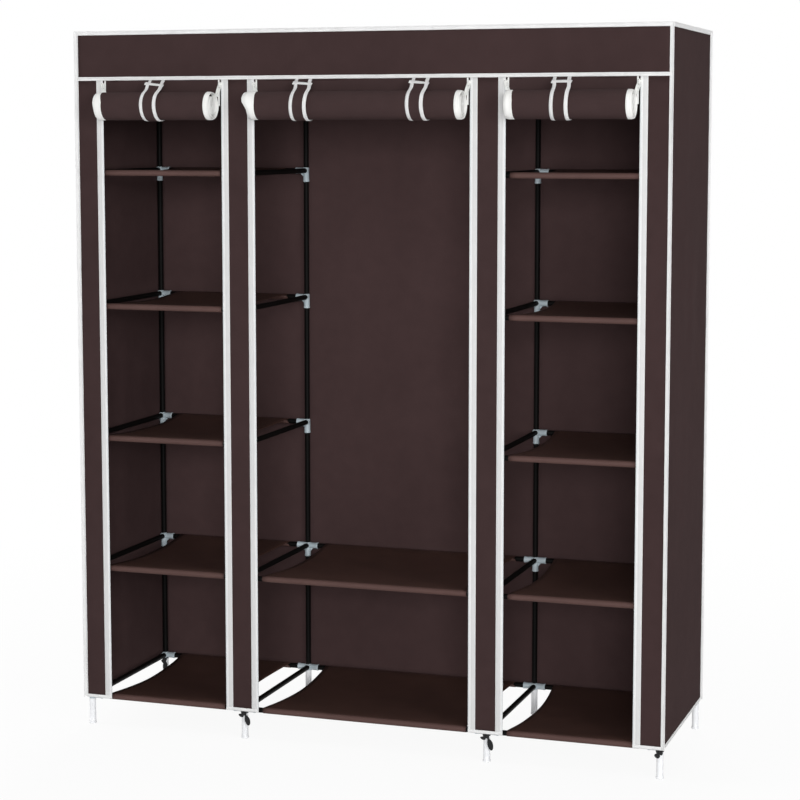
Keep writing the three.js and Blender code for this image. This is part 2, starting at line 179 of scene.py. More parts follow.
class Finish(Graph):
    def __init__(self, name):
        self.material = bpy.data.materials.new(name)
        self.material.use_nodes = True
        super().__init__(self.material.node_tree)
        self.shader = self.tree.nodes["Principled BSDF"]

    def place(self):
        return self.node("ShaderNodeTexCoord", {}, {}, "Object")

    def axis(self, name):
        return self.node("ShaderNodeSeparateXYZ", {}, {"Vector": self.place()}, name)

    def measure(self, name):
        return self.node("ShaderNodeAttribute", {"attribute_name": name}, {}, "Fac")

    def grain(self, scale, detail):
        sockets = {"Vector": self.place(), "Scale": scale, "Detail": detail}
        return self.node("ShaderNodeTexNoise", {}, sockets)

    def cells(self, scale):
        sockets = {"Vector": self.place(), "Scale": scale}
        return self.node("ShaderNodeTexVoronoi", {}, sockets, "Distance")

    def bond_points(self, a, b, pitch):
        """A lattice of bond points on the diagonals, at a pitch in millimetres"""
        turn = math.pi / (pitch * MM)
        lattice = ((a + b) * turn).wave() * ((a - b) * turn).wave()
        return (lattice * lattice * lattice).above(0)

    def blend(self, mask, first, second):
        return self.node("ShaderNodeMix", {"data_type": "RGBA"}, {0: mask, 6: first, 7: second}, 2)

    def relief(self, height, depth):
        sockets = {"Height": height, "Distance": depth, "Strength": 1.0}
        return self.node("ShaderNodeBump", {}, sockets)

    def surface(self, **sockets):
        for name, value in sockets.items():
            self.feed(self.shader.inputs[name.replace("_", " ")], value)
        return self.material


def tone(colour, factor):
    return tuple(c * factor for c in colour)


def felted_cloth(name, colour, level_top=False, gloss=0.9, shine=0.04):
    """Thin bonded cloth: short fibres, a lattice of bond points and faint clouds of density"""
    f = Finish(name)
    x, y = f.axis("X"), f.axis("Y")
    a, b = (x, y) if level_top else (x + y, f.axis("Z"))
    points = f.bond_points(a, b, 1.5)
    fibres = f.grain(900, 3)
    clouds = f.grain(26, 3)
    broad = f.grain(3.5, 1)
    strong = (fibres * 0.34 + clouds * 0.38 + broad * 0.28).contrast(2.6)
    pattern = (strong - points * 0.16).above(0)
    colours = f.blend(pattern, tone(colour, 0.86), tone(colour, 1.14))
    height = fibres * 0.5 + clouds * 0.25 - points * 0.45
    return f.surface(Base_Color=colours, Roughness=(gloss + (fibres - 0.5) * 0.16),
                     Normal=f.relief(height, 0.35 * MM), Specular_IOR_Level=shine)


# How far a shelf's sleeve reaches in from its edge, and the seam's row and stitches beside it
SLEEVE_REACH, SEAM_ROW, SEAM_STITCH = 0.046, 0.0475, 0.0036


def shelf_cloth(name, colour, sleeve_colour_and_highlight, depth):
    """The same cloth with a calendered face, double at both sleeves and paler there: partly the
    sleeve's own tone and partly a painted highlight for the light the rounded sleeve catches
    """
    f = Finish(name)
    along, across = f.measure("along"), f.measure("across")
    edge = (across - depth / 2).size()
    sleeve = ((edge - (depth / 2 - SLEEVE_REACH)) * 900).clip()
    points = f.bond_points(f.axis("X"), f.axis("Y"), 1.6)
    fibres = f.grain(800, 3)
    clouds = f.grain(18, 3)
    seam_row = (edge - (depth / 2 - SEAM_ROW)).size() < 0.0006
    stitch = seam_row * ((along / SEAM_STITCH).fraction() < 0.62)
    strong = (fibres * 0.4 + clouds * 0.6).contrast(2.6)
    sheet_tone = f.blend(strong, tone(colour, 0.82), tone(colour, 1.2))
    sleeve_tone_and_highlight = f.blend(strong, tone(sleeve_colour_and_highlight, 0.9), tone(sleeve_colour_and_highlight, 1.1))
    # Paler at the sleeves: partly the cloth's own tone, partly a painted highlight
    colours = f.blend(sleeve, sheet_tone, sleeve_tone_and_highlight)
    sewn = f.blend(stitch, colours, tone(sleeve_colour_and_highlight, 1.15))
    height = fibres * 0.5 + clouds * 0.3 - points * 0.4 + stitch * 1.4
    return f.surface(Base_Color=sewn, Roughness=(0.52 + sleeve * 0.16 + (fibres - 0.5) * 0.14),
                     Normal=f.relief(height, 0.35 * MM), Specular_IOR_Level=0.22)


def bound_tape(name, colour, rows, pitch=3.4, rib=0.7, shade=0.78, greyer=None):
    """Folded woven tape, with rows of stitches at given distances across it, in millimetres.
    greyer gives the distances between which the weave is open and looks greyer."""
    f = Finish(name)
    along, across = f.measure("along"), f.measure("across")
    ribs = (along * (math.tau / (rib * MM))).wave()
    threads = f.grain(1400, 2)
    clouds = f.grain(30, 2)
    stitches, shaded_troughs = [], []
    for row in rows:
        far = (across - row * MM).size()
        stitches.append((far < 0.42 * MM) * ((along / (pitch * MM)).fraction() < 0.66))
        shaded_troughs.append(1 - (far / (1.5 * MM)).below(1))
    base = f.blend(clouds.contrast(2.2), tone(colour, 0.94), tone(colour, 1.03))
    height = ribs * 0.22 + threads * 0.4
    if greyer:
        low, high = greyer
        open_weave = (across > low * MM) * (across < high * MM)
        base = f.blend(open_weave * (0.75 + ribs * 0.25), base, tone(colour, 0.74))
        height = height - open_weave * 0.5
    if rows:
        stitch, shaded_trough = sum(stitches), sum(shaded_troughs)
        # Painted shade: the tape's colour is darkened towards shade in the troughs beside each row
        # of stitches
        base = f.blend((shaded_trough * 0.55).below(1), base, tone(colour, shade))
        base = f.blend(stitch.below(1), base, tone(colour, 1.04))
        height = height + stitch * 1.1 - shaded_trough * 1.3
    return f.surface(Base_Color=base, Roughness=(0.74 + (threads - 0.5) * 0.2),
                     Normal=f.relief(height, 0.4 * MM), Specular_IOR_Level=0.25,
                     Sheen_Weight=0.12, Sheen_Roughness=0.5)


def plain_plastic(name, colour, roughness, wear=0.05):
    """Moulded plastic with the faint bloom and fine scuffs of a used mould"""
    f = Finish(name)
    bloom = f.grain(45, 3)
    spark = f.grain(1100, 2)
    base = f.blend(bloom.contrast(2.4), tone(colour, 1 - wear), tone(colour, 1 + wear * 0.6))
    return f.surface(Base_Color=base, Roughness=(roughness + (bloom - 0.5) * 0.18),
                     Normal=f.relief(spark * 0.6 + bloom * 0.4, 0.12 * MM))


def coated_tube(name, colour):
    """Steel tube under a black powder coat: orange peel, fine dust and faint rub marks"""
    f = Finish(name)
    peel = f.cells(520)
    dust = f.grain(240, 4)
    rub = f.grain(14, 3)
    marks = ((dust - 0.56) * 5).clip() * ((rub - 0.45) * 4).clip()
    base = f.blend(marks, colour, tone(colour, 2.6))
    return f.surface(Base_Color=base, Roughness=(0.46 + rub * 0.16 + marks * 0.2),
                     Normal=f.relief(peel * 0.6 + dust * 0.3, 0.1 * MM), Specular_IOR_Level=0.06)


def painted_metal(name, colour):
    """Die-cast metal under a white coat, thin and greyer where fingers wear it"""
    f = Finish(name)
    cast = f.grain(600, 3)
    worn = ((f.grain(160, 4) - 0.6) * 6).clip()
    base = f.blend(worn, colour, tone(colour, 0.72))
    return f.surface(Base_Color=base, Roughness=(0.36 + cast * 0.12),
                     Metallic=(worn * 0.4), Normal=f.relief(cast, 0.08 * MM))


COVER = (0.0440, 0.0262, 0.0262)
SHELF = (0.0600, 0.0296, 0.0232)
# The sleeves' tone: partly their own paler tone, partly a painted highlight for the light on the
# rounded sleeve
SLEEVE_TONE_AND_HIGHLIGHT = (0.078, 0.041, 0.036)
WHITE = (0.80, 0.80, 0.80)

cover_cloth = felted_cloth("cover_cloth_brown", COVER)
# The cover's inner face is the same cloth made 1.38 times paler: painted light for the inside of
# the cover, which the lamps light less than the outside
lining_face_painted_light = felted_cloth("cover_cloth_inner_face_brown_painted_light", tone(COVER, 1.38))
top_cloth = felted_cloth("cover_cloth_top_brown", COVER, level_top=True)
door_cloth = felted_cloth("door_cloth_brown", tone(COVER, 0.98), gloss=0.82, shine=0.08)
corner_tape = bound_tape("corner_binding_white", WHITE, (3.1, 22.6))
band_tape = bound_tape("header_binding_white", WHITE, (1.6, 7.6))
hem_tape = bound_tape("hem_binding_white", WHITE, (1.5,))
zip_cloth = bound_tape("zip_tape_white", WHITE, (6.4, 16.4), rib=1.1, shade=0.86,
                       greyer=(6.4, 16.4))
door_tape = bound_tape("door_tape_white", (0.84, 0.84, 0.82), (5.0, 17.6), rib=1.1, shade=0.88)
zip_coil = plain_plastic("zip_teeth_pale", (0.62, 0.65, 0.66), 0.42)
strap_tape = bound_tape("strap_binding_white", WHITE, (2.0, 6.4, 36.6, 41.0))
tube_coat = coated_tube("tube_coat_black", (0.0034, 0.0031, 0.0030))
joint_plastic = plain_plastic("connector_plastic_grey", (0.44, 0.51, 0.55), 0.46, 0.06)
leg_plastic = plain_plastic("leg_plastic_white", (0.83, 0.84, 0.86), 0.4, 0.03)
zip_paint = painted_metal("zip_metal_white", (0.78, 0.78, 0.76))
pull_paint = painted_metal("zip_pull_pale", (0.66, 0.67, 0.65))
tie_ribbon = bound_tape("tie_ribbon_black", (0.008, 0.008, 0.009), (), rib=0.6)


# Making and placing pieces

def add(bm, part, index=None):
    """Moves a part into bm, with its own finishes or all of it in the one that index gives"""
    if index is not None:
        for face in part.faces:
            face.material_index = index
    mesh = bpy.data.meshes.new("part")
    part.to_mesh(mesh)
    part.free()
    bm.from_mesh(mesh)
    bpy.data.meshes.remove(mesh)


def link(name, data):
    obj = bpy.data.objects.new(name, data)
    bpy.context.scene.collection.objects.link(obj)
    return obj


def move(bm, vec, verts=None):
    bmesh.ops.translate(bm, vec=vec, verts=verts or bm.verts)


def face_out(bm):
    bmesh.ops.recalc_face_normals(bm, faces=bm.faces)


def extrude(bm, faces):
    """Extrudes faces and gives the points of the new ones"""
    raised = bmesh.ops.extrude_face_region(bm, geom=faces)
    return [g for g in raised["geom"] if isinstance(g, bmesh.types.BMVert)]


def round_edges(bm, edges, offset, segments):
    bmesh.ops.bevel(bm, geom=edges, offset=offset, offset_type="OFFSET", affect="EDGES",
                    segments=segments, profile=0.5, material=-1)


def sharp_edges(bm, angle):
    return [e for e in bm.edges if e.is_manifold and e.calc_face_angle() > angle]


def piece(name, bm, finishes, body="wardrobe", stands_for=(), sharp=38, wall=0, offset=-1,
          inner=0):
    """A finished mesh as an object at the origin. wall gives an open sheet its thickness."""
    move(bm, (0, SHIFT, 0))
    mesh = bpy.data.meshes.new(name)
    bm.to_mesh(mesh)
    bm.free()
    for finish in finishes:
        mesh.materials.append(finish)
    mesh.shade_smooth()
    mesh.set_sharp_from_angle(angle=math.radians(sharp))
    obj = link(name, mesh)
    if wall:
        thick = obj.modifiers.new("cloth thickness", "SOLIDIFY")
        thick.thickness = wall
        thick.offset = offset
        thick.material_offset = inner
    if stands_for:
        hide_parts(*stands_for)
    if body:
        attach(obj, body)
    return obj


def lathe(bm, profile, base, axis, steps=20, index=None):
    """A profile of radii and heights in millimetres, turned round an axis that starts at base"""
    part = bmesh.new()
    verts = [part.verts.new((radius * MM, 0, height * MM)) for radius, height in profile]
    edges = [part.edges.new(pair) for pair in zip(verts, verts[1:])]
    bmesh.ops.spin(part, geom=verts + edges, cent=(0, 0, 0), axis=(0, 0, 1), dvec=(0, 0, 0),
                   angle=math.tau, steps=steps, space=Matrix.Identity(4), use_merge=True)
    bmesh.ops.remove_doubles(part, verts=part.verts, dist=1e-6)
    face_out(part)
    turn = Vector((0, 0, 1)).rotation_difference(Vector(axis)).to_matrix().to_4x4()
    bmesh.ops.transform(part, matrix=Matrix.Translation(base) @ turn, verts=part.verts)
    add(bm, part, index)


def block(bm, middle, size, rounding, segments=2, turn=None):
    """A block with rounded edges"""
    part = bmesh.new()
    bmesh.ops.create_cube(part, size=1)
    bmesh.ops.scale(part, vec=size, verts=part.verts)
    round_edges(part, part.edges[:], rounding, segments)
    if turn is not None:
        bmesh.ops.transform(part, matrix=turn.to_4x4(), verts=part.verts)
    move(part, middle)
    add(bm, part)


def run_lengths(points):
    """How far along the line of points each one is"""
    lengths = [0]
    for p, q in zip(points, points[1:]):
        lengths.append(lengths[-1] + math.dist(p, q))
    return lengths


def sheet_mesh(columns, rows, place, tapes=0):
    """A grid of cloth. place gives a point, from its shares across and along, and the distances
    along and across that the finishes read. As many columns at each edge as tapes says have the
    second finish."""
    bm = bmesh.new()
    bmesh.ops.create_grid(bm, x_segments=columns, y_segments=rows, size=1)
    along = bm.verts.layers.float.new("along")
    across = bm.verts.layers.float.new("across")
    for face in bm.faces:
        i = int((face.calc_center_median().x + 1) / 2 * columns)
        face.material_index = int(i < tapes or i >= columns - tapes)
    for vert in bm.verts:
        vert.co, vert[along], vert[across] = place((vert.co.x + 1) / 2, (vert.co.y + 1) / 2)
    return bm


def facing(bm, direction):
    """Turns a sheet's right side out"""
    face_out(bm)
    if sum((face.normal for face in bm.faces), Vector()).dot(Vector(direction)) < 0:
        bmesh.ops.reverse_faces(bm, faces=bm.faces)
    return bm


def closed_run(section, start, end, u_axis, v_axis, step, wobble):
    """A closed section, in millimetres along two axes, run straight from start to end"""
    start, end, u_axis, v_axis = map(Vector, (start, end, u_axis, v_axis))
    count = len(section)
    rows = max(1, round((end - start).length / step))
    lengths = run_lengths([(u * MM, v * MM) for u, v in section + section[:1]])

    def place(share, down):
        k = round(share * count)
        u, v = section[k % count]
        middle = start.lerp(end, down)
        swell = wobble * ripple(*(middle + u_axis * u * 0.02), 0.03)
        point = middle + u_axis * (u * MM + swell) + v_axis * (v * MM + swell)
        return point, down * (end - start).length, lengths[k]

    part = sheet_mesh(count, rows, place)
    bmesh.ops.remove_doubles(part, verts=part.verts, dist=1e-6)
    bmesh.ops.holes_fill(part, edges=[e for e in part.edges if e.is_boundary], sides=0)
    face_out(part)
    return part


# Frame of tubes and connectors

def tube(name, start, end, stands_for=()):
    start, end = Vector(start), Vector(end)
    bm = bmesh.new()
    length = (end - start).length / MM
    r, chamfer, rings = TUBE / MM, 0.4, 12
    profile = [(0, 0), (r - chamfer, 0), (r, chamfer)]
    profile += [(r, length * k / rings) for k in range(1, rings)]
    profile += [(r, length - chamfer), (r - chamfer, length), (0, length)]
    lathe(bm, profile, start, end - start)
    piece(name, bm, [tube_coat], stands_for=stands_for)


def socket(bm, hub, direction):
    """An open socket, beaded at its mouth, from the hub towards a rail"""
    s, b, reach, depth, bore = SOCKET, BEAD, SOCKET_REACH, 9, 6.7
    profile = [(0, 0), (s, 0), (s, reach - 5.2), (b, reach - 4.4), (b, reach - 0.5),
               (b - 0.4, reach), (bore, reach), (bore, depth), (0, depth)]
    lathe(bm, profile, hub, (direction, 0, 0), 24)


def web(bm, hub, direction):
    """The rib in the corner under a socket"""
    part = bmesh.new()
    tip, thick = 23 * MM, 0.003
    corners = [(0, -thick / 2, 0), (0, -thick / 2, -tip), (direction * tip, -thick / 2, 0)]
    face = part.faces.new([part.verts.new(c) for c in corners])
    move(part, (0, thick, 0), extrude(part, [face]))
    face_out(part)
    round_edges(part, part.edges[:], 0.0004, 1)
    move(part, hub)
    add(bm, part)


def connector(name, x, y, k, directions):
    """A plastic joint: a sleeve on the post, a collar for the side tube, a socket for each rail"""
    bm = bmesh.new()
    hub = Vector((x, y, level(k)))
    s, b = SOCKET, BEAD
    drop = 29 if k else 8.2
    sleeve = [(0, 0), (b - 0.5, 0), (b, 0.5), (b, 4.4), (s, 5.2), (s, drop + 6.6),
              (s - 1.2, drop + 8.2), (0, drop + 8.2)]
    lathe(bm, sleeve, hub - Vector((0, 0, drop * MM)), (0, 0, 1), 24)
    collar = [(0, 0), (s, 0), (s, 7.4), (b, 7.9), (b, 10.2), (b - 0.3, 10.5), (6.6, 10.5),
              (6.6, 5), (0, 5)]
    lathe(bm, collar, hub, (0, -math.copysign(1, y), 0), 24)
    for direction in directions:
        socket(bm, hub, direction)
        if k:
            web(bm, hub, direction)
    piece(name, bm, [joint_plastic])


def leg(name, x, y):
    """A leg with a flared foot and a beaded mouth, from the floor up"""
    profile = [(0, 0), (8.6, 0), (9.4, 0.8), (9.4, 4.2), (8.9, 5), (8.3, 5.8), (8.15, 20),
               (8.1, 40), (8.1, 59.6), (8.4, 60.4), (8.4, 64.9), (7.9, 65.5), (6.8, 65.5),
               (6.8, 42), (0, 42)]
    bm = bmesh.new()
    lathe(bm, profile, (x, y, 0), (0, 0, 1), 28)
    piece(f"{name}_tube", bm, [leg_plastic], stands_for=[name])


def rail_directions(place_name, k):
    """The sides, -1 left and 1 right, to which rails leave an upright"""
    railed = [column for column in COLUMNS.values() if k < column[2] or k == STEPS]
    ends = ((1, 0), (-1, 1))
    return [side for column in railed for side, end in ends if column[end] == place_name]


for place_name, x in LADDERS.items():
    for side, row in FACES:
        y = side * POST_Y
        tube(f"post_{row}_{place_name}", (x, y, POST_LOW), (x, y, TOP_LEVEL + POST_PAST_TOP),
             [f"frame_{place_name}"] if row == "front" else [])
        leg(f"leg_{row}_{place_name}", x, y)
        for k in range(STEPS + 1):
            directions = rail_directions(place_name, k)
            connector(f"connector_{row}_{place_name}_{k + 1}", x, y, k, directions)
    for k in range(STEPS + 1):
        reach, z = POST_Y - SIDE_TUBE_GAP, level(k)
        tube(f"side_tube_{place_name}_{k + 1}", (x, -reach, z), (x, reach, z))

for column, (start, end, shelves) in COLUMNS.items():
    x0, x1 = LADDERS[start] + RAIL_GAP, LADDERS[end] - RAIL_GAP
    for side, row in FACES:
        y = side * POST_Y
        for k in range(shelves):
            tube(f"shelf_rail_{column}_{k + 1}_{row}", (x0, y, level(k)), (x1, y, level(k)))
        node = f"top_rail_{column}_{row}"
        tube(f"{node}_tube", (x0, y, TOP_LEVEL), (x1, y, TOP_LEVEL), [node])

# The hanging rod, between collars on the dividers' top side tubes
rod_end = LADDERS["divider_right"] - RAIL_GAP
tube("hanging_rod_tube", (-rod_end, 0, TOP_LEVEL), (rod_end, 0, TOP_LEVEL), ["hanging_rod"])
for side, label in SIDES:
    bm = bmesh.new()
    hub = Vector((side * LADDERS["divider_right"], 0, TOP_LEVEL))
    s, b = SOCKET, BEAD
    sleeve = [(6.6, 0), (b - 0.4, 0), (b, 0.4), (b, 3), (s, 3.8), (s, 22.2), (b, 23), (b, 25.6),
              (b - 0.4, 26), (6.6, 26), (6.6, 0)]
    lathe(bm, sleeve, hub - Vector((0, 0.013, 0)), (0, 1, 0), 24)
    socket(bm, hub, -side)
    piece(f"rod_collar_{label}", bm, [joint_plastic])


# Shelves: cloth with a sleeve round each rail

SHELF_SEAM, SHELF_SEAM_RISE, FLAT_FROM, FLAT_STEPS = 0.0165, 0.0034, 0.006, 22
SHELF_CLOTH = 0.0007
# How far the cloth sags and draws in at its sides, and the height of its puckers, creases and
# sewn waves
SHELF_SAG, SHELF_DRAW = 0.013, 0.015
SHELF_PUCKER, SHELF_CREASE, SEWN_WAVE = 0.0005, 0.0008, 0.0003


def shelf_line():
    """The cloth's line in depth and height from the front sleeve's seam to the rear one's, with
    its share of the way over the flat part"""
    half = [(SHELF_SEAM, SHELF_SEAM_RISE)]
    for degrees in range(-60, -271, -15):
        angle = math.radians(degrees)
        half.append((SLEEVE * math.cos(angle), SLEEVE * math.sin(angle)))
    front = [(-POST_Y + d, h, 0) for d, h in half]
    start, end = -POST_Y + FLAT_FROM, POST_Y - FLAT_FROM
    shares = [i / FLAT_STEPS for i in range(1, FLAT_STEPS)]
    flat = [(start + share * (end - start), SLEEVE, share) for share in shares]
    rear = [(POST_Y - d, h, 0) for d, h in reversed(half)]
    return front + flat + rear


SHELF_LINE = shelf_line()
SHELF_ALONG = run_lengths([(depth, height) for depth, height, _ in SHELF_LINE])
shelf_finish = shelf_cloth("shelf_cloth_brown", SHELF, SLEEVE_TONE_AND_HIGHLIGHT, SHELF_ALONG[-1])


def shelf(column, k):
    start, end, _ = COLUMNS[column]
    x0, x1 = LADDERS[start] + SHELF_GAP, LADDERS[end] - SHELF_GAP
    z = level(k)
    seed = 1.7 * k + 5.3 * list(LADDERS).index(start)
    count = len(SHELF_LINE) - 1
    columns = 20 if column != "center" else 34

    def place(share, across):
        i = round(across * count)
        depth, height, hang = SHELF_LINE[i]
        sag = SHELF_SAG * (0.6 + 0.4 * hump(share)) * hump(hang)
        inset = SHELF_DRAW * hump(hang) * (1 - 2 * share)
        near_edge = math.exp(-((0.5 - abs(share - 0.5)) / 0.09) ** 2)
        pull = SHELF_PUCKER * hump(hang) * near_edge * math.sin(hang * 11 + seed)
        crease = SHELF_CREASE * hump(hang) * ripple(share * 5 + seed, depth * 3, 0, 0.9)
        x = x0 + share * (x1 - x0) + inset
        at_seam = hang == 0 and abs(abs(depth) - POST_Y + SHELF_SEAM) < 0.002
        sew = SEWN_WAVE * math.sin(x * 900) if at_seam else 0
        point = Vector((x, depth, z + height - sag + pull + crease + sew))
        return point, share * (x1 - x0), SHELF_ALONG[i]

    node = f"shelf_{column}_{k + 1}"
    obj = piece(f"{node}_cloth", sheet_mesh(columns, count, place), [shelf_finish],
                stands_for=[node], sharp=60, wall=SHELF_CLOTH, offset=0)


for column, (_, _, shelves) in COLUMNS.items():
    for k in range(shelves):
        shelf(column, k)


# Cover: sewn panels of bonded cloth

# How far the panels swell, with their finer creases and limits, and how far the top sags in the
# side bays and next to the hanging rod
FRONT_SWELL, FRONT_CREASE, FRONT_LIMITS, FRONT_EASE = 0.0006, 0.0004, (-0.0005, 0.0006), 0.014
BACK_SWELL, BACK_CREASE, BACK_LIMIT, SIDE_SWELL = 0.0032, 0.0008, 0.002, 0.0022
TOP_SAG, ROD_SAG, TOP_CREASE = 0.006, 0.004, 0.0004


def wall(name, across, up, where, columns, rows, finish=cover_cloth, stands_for=(),
         out=(0, -1, 0), rests_on=()):
    """A flat panel. where gives the point at a width and a height."""
    (a0, a1), (b0, b1) = across, up

    def place(share, rise):
        a = a0 + share * (a1 - a0)
        b = b0 + rise * (b1 - b0)
        return where(a, b), b, a

    bm = facing(sheet_mesh(columns, rows, place), out)
    # Inner faces take the lining finish, the same cloth painted paler as light for the inside of
    # the cover
    obj = piece(name, bm, [finish, lining_face_painted_light], stands_for=stands_for, sharp=60,
                wall=CLOTH, inner=1)
    list(rests_on)


def front_cloth(a, b):
    """The front cloth swells a little, but lies flat under the zip tapes"""
    free = 1
    if b < HEADER_Z + 0.006:
        beside = min(abs(abs(a) - edge) for edge in DOOR_EDGES if edge > 0) - TAPE
        free = ease(beside / FRONT_EASE)
    swell = FRONT_SWELL * ripple(a, 0, b, 0.11) + FRONT_CREASE * ripple(a, 3, b, 0.035)
    low, high = FRONT_LIMITS
    return Vector((a, -WALL_Y - free * min(max(swell, low), high), b))


strip_edges = [-WALL_X, *DOOR_EDGES, WALL_X]
STRIPS = list(zip(strip_edges[::2], strip_edges[1::2]))
HEADER_LOW = HEADER_Z - 0.004
wall("cover_header", (-WALL_X, WALL_X), (HEADER_LOW, TOP_Z), front_cloth, 90, 10,
     stands_for=["cover_front"])
for i, strip in enumerate(STRIPS):
    wall(f"cover_strip_{i + 1}", strip, (HEM_Z, HEADER_LOW), front_cloth, 12, 90)


def back_cloth(a, b):
    slack = hump((b - HEM_Z) / (TOP_Z - HEM_Z)) * hump((a + WALL_X) / (2 * WALL_X))
    swell = BACK_SWELL * ripple(a * 1.6, 1, b * 0.5, 0.16) + BACK_CREASE * ripple(a, 5, b, 0.05)
    return Vector((a, WALL_Y + min(swell * slack, BACK_LIMIT), b))


wall("back_panel", (-WALL_X, WALL_X), (HEM_Z, TOP_Z), back_cloth, 80, 90,
     stands_for=["cover_back"], out=(0, 1, 0))


def side_cloth(side):
    def where(a, b):
        slack = hump((b - HEM_Z) / (TOP_Z - HEM_Z)) * hump((a + WALL_Y) / (2 * WALL_Y))
        swell = SIDE_SWELL * (0.5 + ripple(3 * side, a * 1.5, b * 0.45, 0.12)) * slack
        return Vector((side * (WALL_X + max(swell, 0)), a, b))
    return where


for side, label in SIDES:
    wall(f"side_panel_{label}", (-INNER_Y, INNER_Y), (HEM_Z, TOP_Z - CLOTH - SEAM),
         side_cloth(side), 30, 90, stands_for=[f"cover_{label}"], out=(side, 0, 0))


def top_place(a, b):
    """The top cloth sags in each bay of the frame, and on both sides of the hanging rod"""
    bays = sorted(LADDERS.values())
    bay = max(i for i in range(3) if a >= bays[i] or i == 0)
    across = min(max((a - bays[bay]) / (bays[bay + 1] - bays[bay]), 0), 1)
    depth = min(max((b + POST_Y) / (2 * POST_Y), 0), 1)
    if bay == 1:
        depth = depth * 2 % 1
    sag = (ROD_SAG if bay == 1 else TOP_SAG) * math.sqrt(hump(across) * hump(depth))
    return Vector((a, b, TOP_Z - sag - TOP_CREASE * abs(ripple(a, b, 0, 0.06))))


wall("top_panel", (-WALL_X, WALL_X), (-INNER_Y, INNER_Y), top_place, 90, 36, top_cloth,
     ["cover_top"], (0, 0, 1), ["top_rail_left_front_tube", "top_rail_left_rear_tube"])

# The section of a bound seam round a corner: a flap on each panel and a folded nose between
NOSE = [(-5.2, 0.1), (-5.2, 1.15), (-2, 1.35), (0.6, 1.6), (3.2, 4.2), (4.0, 4.75), (4.75, 4.0),
        (4.2, 3.2), (1.6, 0.6), (1.35, -2), (1.15, -5.2), (0.1, -5.2), (0.1, 0.1)]


def binding(name, start, end, u_axis, v_axis, section=NOSE, finish=corner_tape, step=0.014):
    bm = closed_run(section, start, end, u_axis, v_axis, step, 0.0003)
    piece(name, bm, [finish], sharp=50)


for sx, side in SIDES:
    x = sx * WALL_X
    for sy, row in FACES:
        binding(f"corner_binding_{row}_{side}", (x, sy * WALL_Y, HEM_Z),
                (x, sy * WALL_Y, TOP_Z + 0.002), (sx, 0, 0), (0, sy, 0))
    binding(f"top_binding_{side}", (x, -WALL_Y - 0.001, TOP_Z), (x, WALL_Y + 0.001, TOP_Z),
            (sx, 0, 0), (0, 0, 1))
for sy, row in FACES:
    reach = WALL_X + 0.0042
    binding(f"top_binding_{row}", (-reach, sy * WALL_Y, TOP_Z), (reach, sy * WALL_Y, TOP_Z),
            (0, sy, 0), (0, 0, 1))


def band(name, start, end, out, proud=1.2, height=HEM_BAND, finish=hem_tape, step=0.014):
    """A flat folded band of a given height that stands a little out of the cloth"""
    top = height / MM
    section = [(0.0, -0.8), (0.0, proud - 0.5), (0.5, proud), (top / 2, proud + 0.1),
               (top - 0.5, proud), (top, proud - 0.5), (top, -0.8)]
    binding(name, start, end, (0, 0, 1), out, section, finish, step)


HEM_LOW = HEM_Z - 0.0005
band("header_binding", (-BAND_END_X, -WALL_Y, HEADER_Z), (BAND_END_X, -WALL_Y, HEADER_Z),
     (0, -1, 0), 1.4, HEADER_BAND, band_tape)
for i, (a, b) in enumerate(STRIPS):
    a += BAND_INSET if a == -WALL_X else 0
    b -= BAND_INSET if b == WALL_X else 0
    band(f"hem_binding_front_{i + 1}", (a, -WALL_Y, HEM_LOW), (b, -WALL_Y, HEM_LOW), (0, -1, 0),
         1.4, step=0.006)
band("hem_binding_rear", (-BAND_END_X, WALL_Y, HEM_LOW), (BAND_END_X, WALL_Y, HEM_LOW),
     (0, 1, 0))
for side, label in SIDES:
    x = side * WALL_X
    band(f"hem_binding_{label}", (x, -BAND_END_Y, HEM_LOW), (x, BAND_END_Y, HEM_LOW), (side, 0, 0))


# Zips: a tape on each strip's edge, with its row of teeth

TOOTH_PITCH, TOOTH_SIZE, TOOTH_IN = 0.002, (0.0036, 0.00046, 0.00115), 0.0014
TOOTH_TAPER, TEETH_STOP = (0.86, 1, 0.62), 0.009
# How far the tape's face and the middles of the teeth stand in front of the cover's face
TAPE_PROUD, TEETH_PROUD, TAPE_CLOTH = 0.00042, 0.0007, 0.0004
TAPE_BULGE, TAPE_WAVE = 0.00022, 0.00008


def zip_half(number, edge, into):
    """The tape on a strip, from its edge towards the strip's middle, and the teeth on the edge"""
    bottom, top = HEM_Z + 0.001, HEADER_Z + 0.001

    def place(share, up):
        z = bottom + up * (top - bottom)
        bulge = TAPE_BULGE * hump(min(share * 1.6, 1)) + TAPE_WAVE * ripple(edge, share, z, 0.02)
        y = -WALL_Y - TAPE_PROUD - bulge
        return Vector((edge + into * share * TAPE, y, z)), z, share * TAPE

    bm = facing(sheet_mesh(6, 150, place), (0, -1, 0))
    obj = piece(f"zip_tape_{number}", bm, [zip_cloth], sharp=60, wall=TAPE_CLOTH)
    tooth = bmesh.new()
    bmesh.ops.create_cube(tooth, size=1)
    bmesh.ops.scale(tooth, vec=TOOTH_SIZE, verts=tooth.verts)
    front = [v for v in tooth.verts if v.co.y < 0]
    bmesh.ops.scale(tooth, vec=TOOTH_TAPER, verts=front)
    teeth = bmesh.new()
    for k in range(round((top - TEETH_STOP - bottom) / TOOTH_PITCH)):
        one = tooth.copy()
        z = bottom + TOOTH_PITCH + k * TOOTH_PITCH
        move(one, (edge + into * TOOTH_IN, -WALL_Y - TEETH_PROUD, z))
        add(teeth, one)
    tooth.free()
    piece(f"zip_teeth_{number}", teeth, [zip_coil], sharp=30)


for i, edge in enumerate(DOOR_EDGES):
    zip_half(i + 1, edge, 1 if i % 2 else -1)


# Doors: the cloth below the header, and the rest of it rolled up

